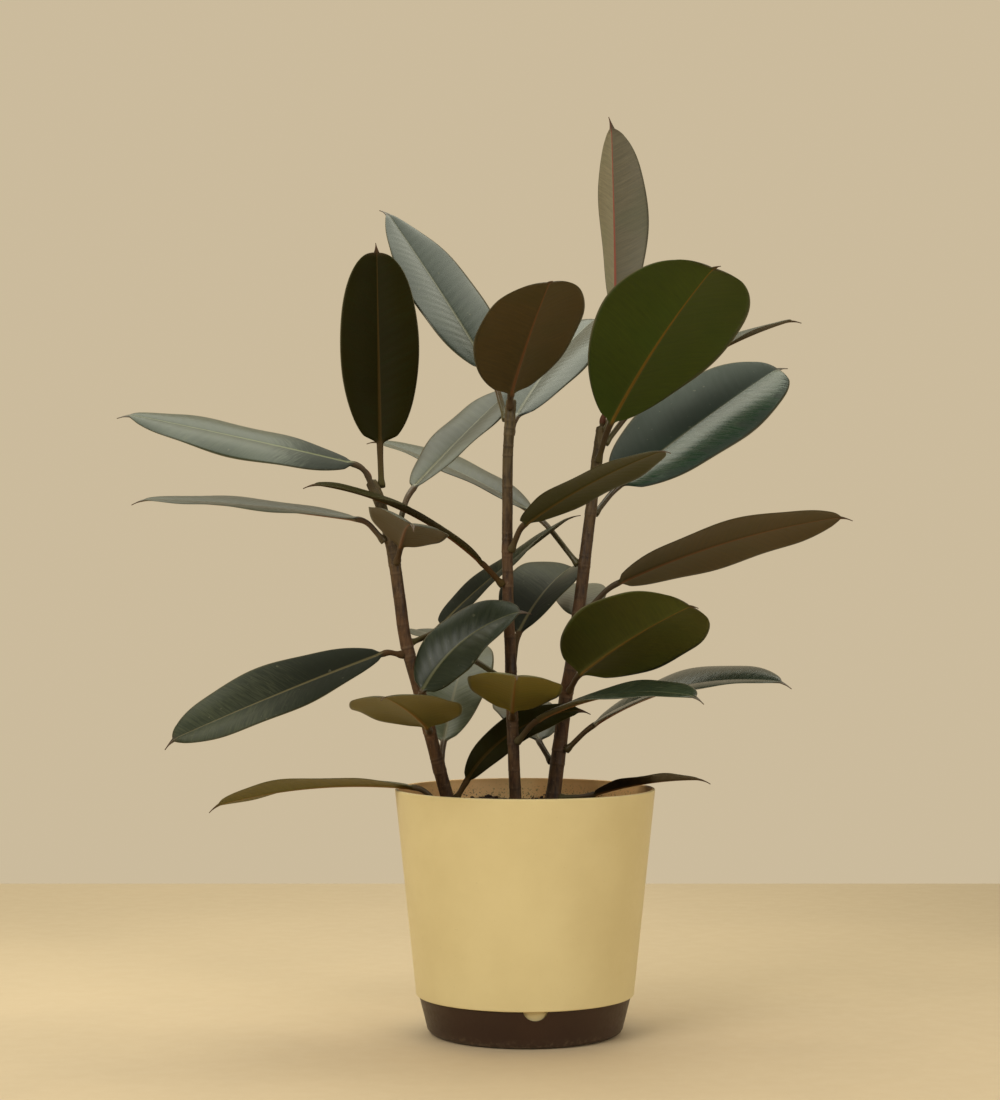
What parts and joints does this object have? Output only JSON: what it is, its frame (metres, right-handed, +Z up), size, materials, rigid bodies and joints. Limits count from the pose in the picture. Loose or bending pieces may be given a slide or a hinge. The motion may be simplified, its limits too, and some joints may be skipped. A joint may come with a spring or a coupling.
{
  "type": "potted rubber plant",
  "caption": "Potted rubber plant: upright woody stems with broad leathery leaves in a tapered round planter with a clip-on base tray.",
  "frame": {"origin": "centre of the planter's flat underside, on the surface it stands on", "axes": "+Z up the planter's axis and the plant; +X to the right seen from the front; +Y to the back, the drain notch faces -Y"},
  "size_m": [0.5284, 0.3592, 0.6741],
  "materials": {
    "shell": "satin",
    "tray": "satin",
    "soil": "matte",
    "stem": "matte",
    "leaf": "satin"
  },
  "bodies": {
    "root": {"planter_shell": "shell", "planter_tray": "tray", "soil": "soil", "stem_left": "stem", "stem_middle": "stem", "stem_right": "stem", "leaf_left_01": "leaf", "leaf_left_02": "leaf", "leaf_left_03": "leaf", "leaf_left_04": "leaf", "leaf_left_05": "leaf", "leaf_left_06": "leaf", "leaf_left_07": "leaf", "leaf_left_08": "leaf", "leaf_left_09": "leaf", "leaf_left_10": "leaf", "leaf_left_11": "leaf", "leaf_left_12": "leaf", "leaf_middle_01": "leaf", "leaf_middle_02": "leaf", "leaf_middle_03": "leaf", "leaf_middle_04": "leaf", "leaf_middle_05": "leaf", "leaf_middle_06": "leaf", "leaf_middle_07": "leaf", "leaf_middle_08": "leaf", "leaf_middle_09": "leaf", "leaf_right_01": "leaf", "leaf_right_02": "leaf", "leaf_right_03": "leaf", "leaf_right_04": "leaf", "leaf_right_05": "leaf", "leaf_right_06": "leaf", "leaf_right_07": "leaf", "leaf_right_08": "leaf", "leaf_right_09": "leaf", "leaf_right_10": "leaf", "leaf_right_11": "leaf"}
  },
  "joints": []
}
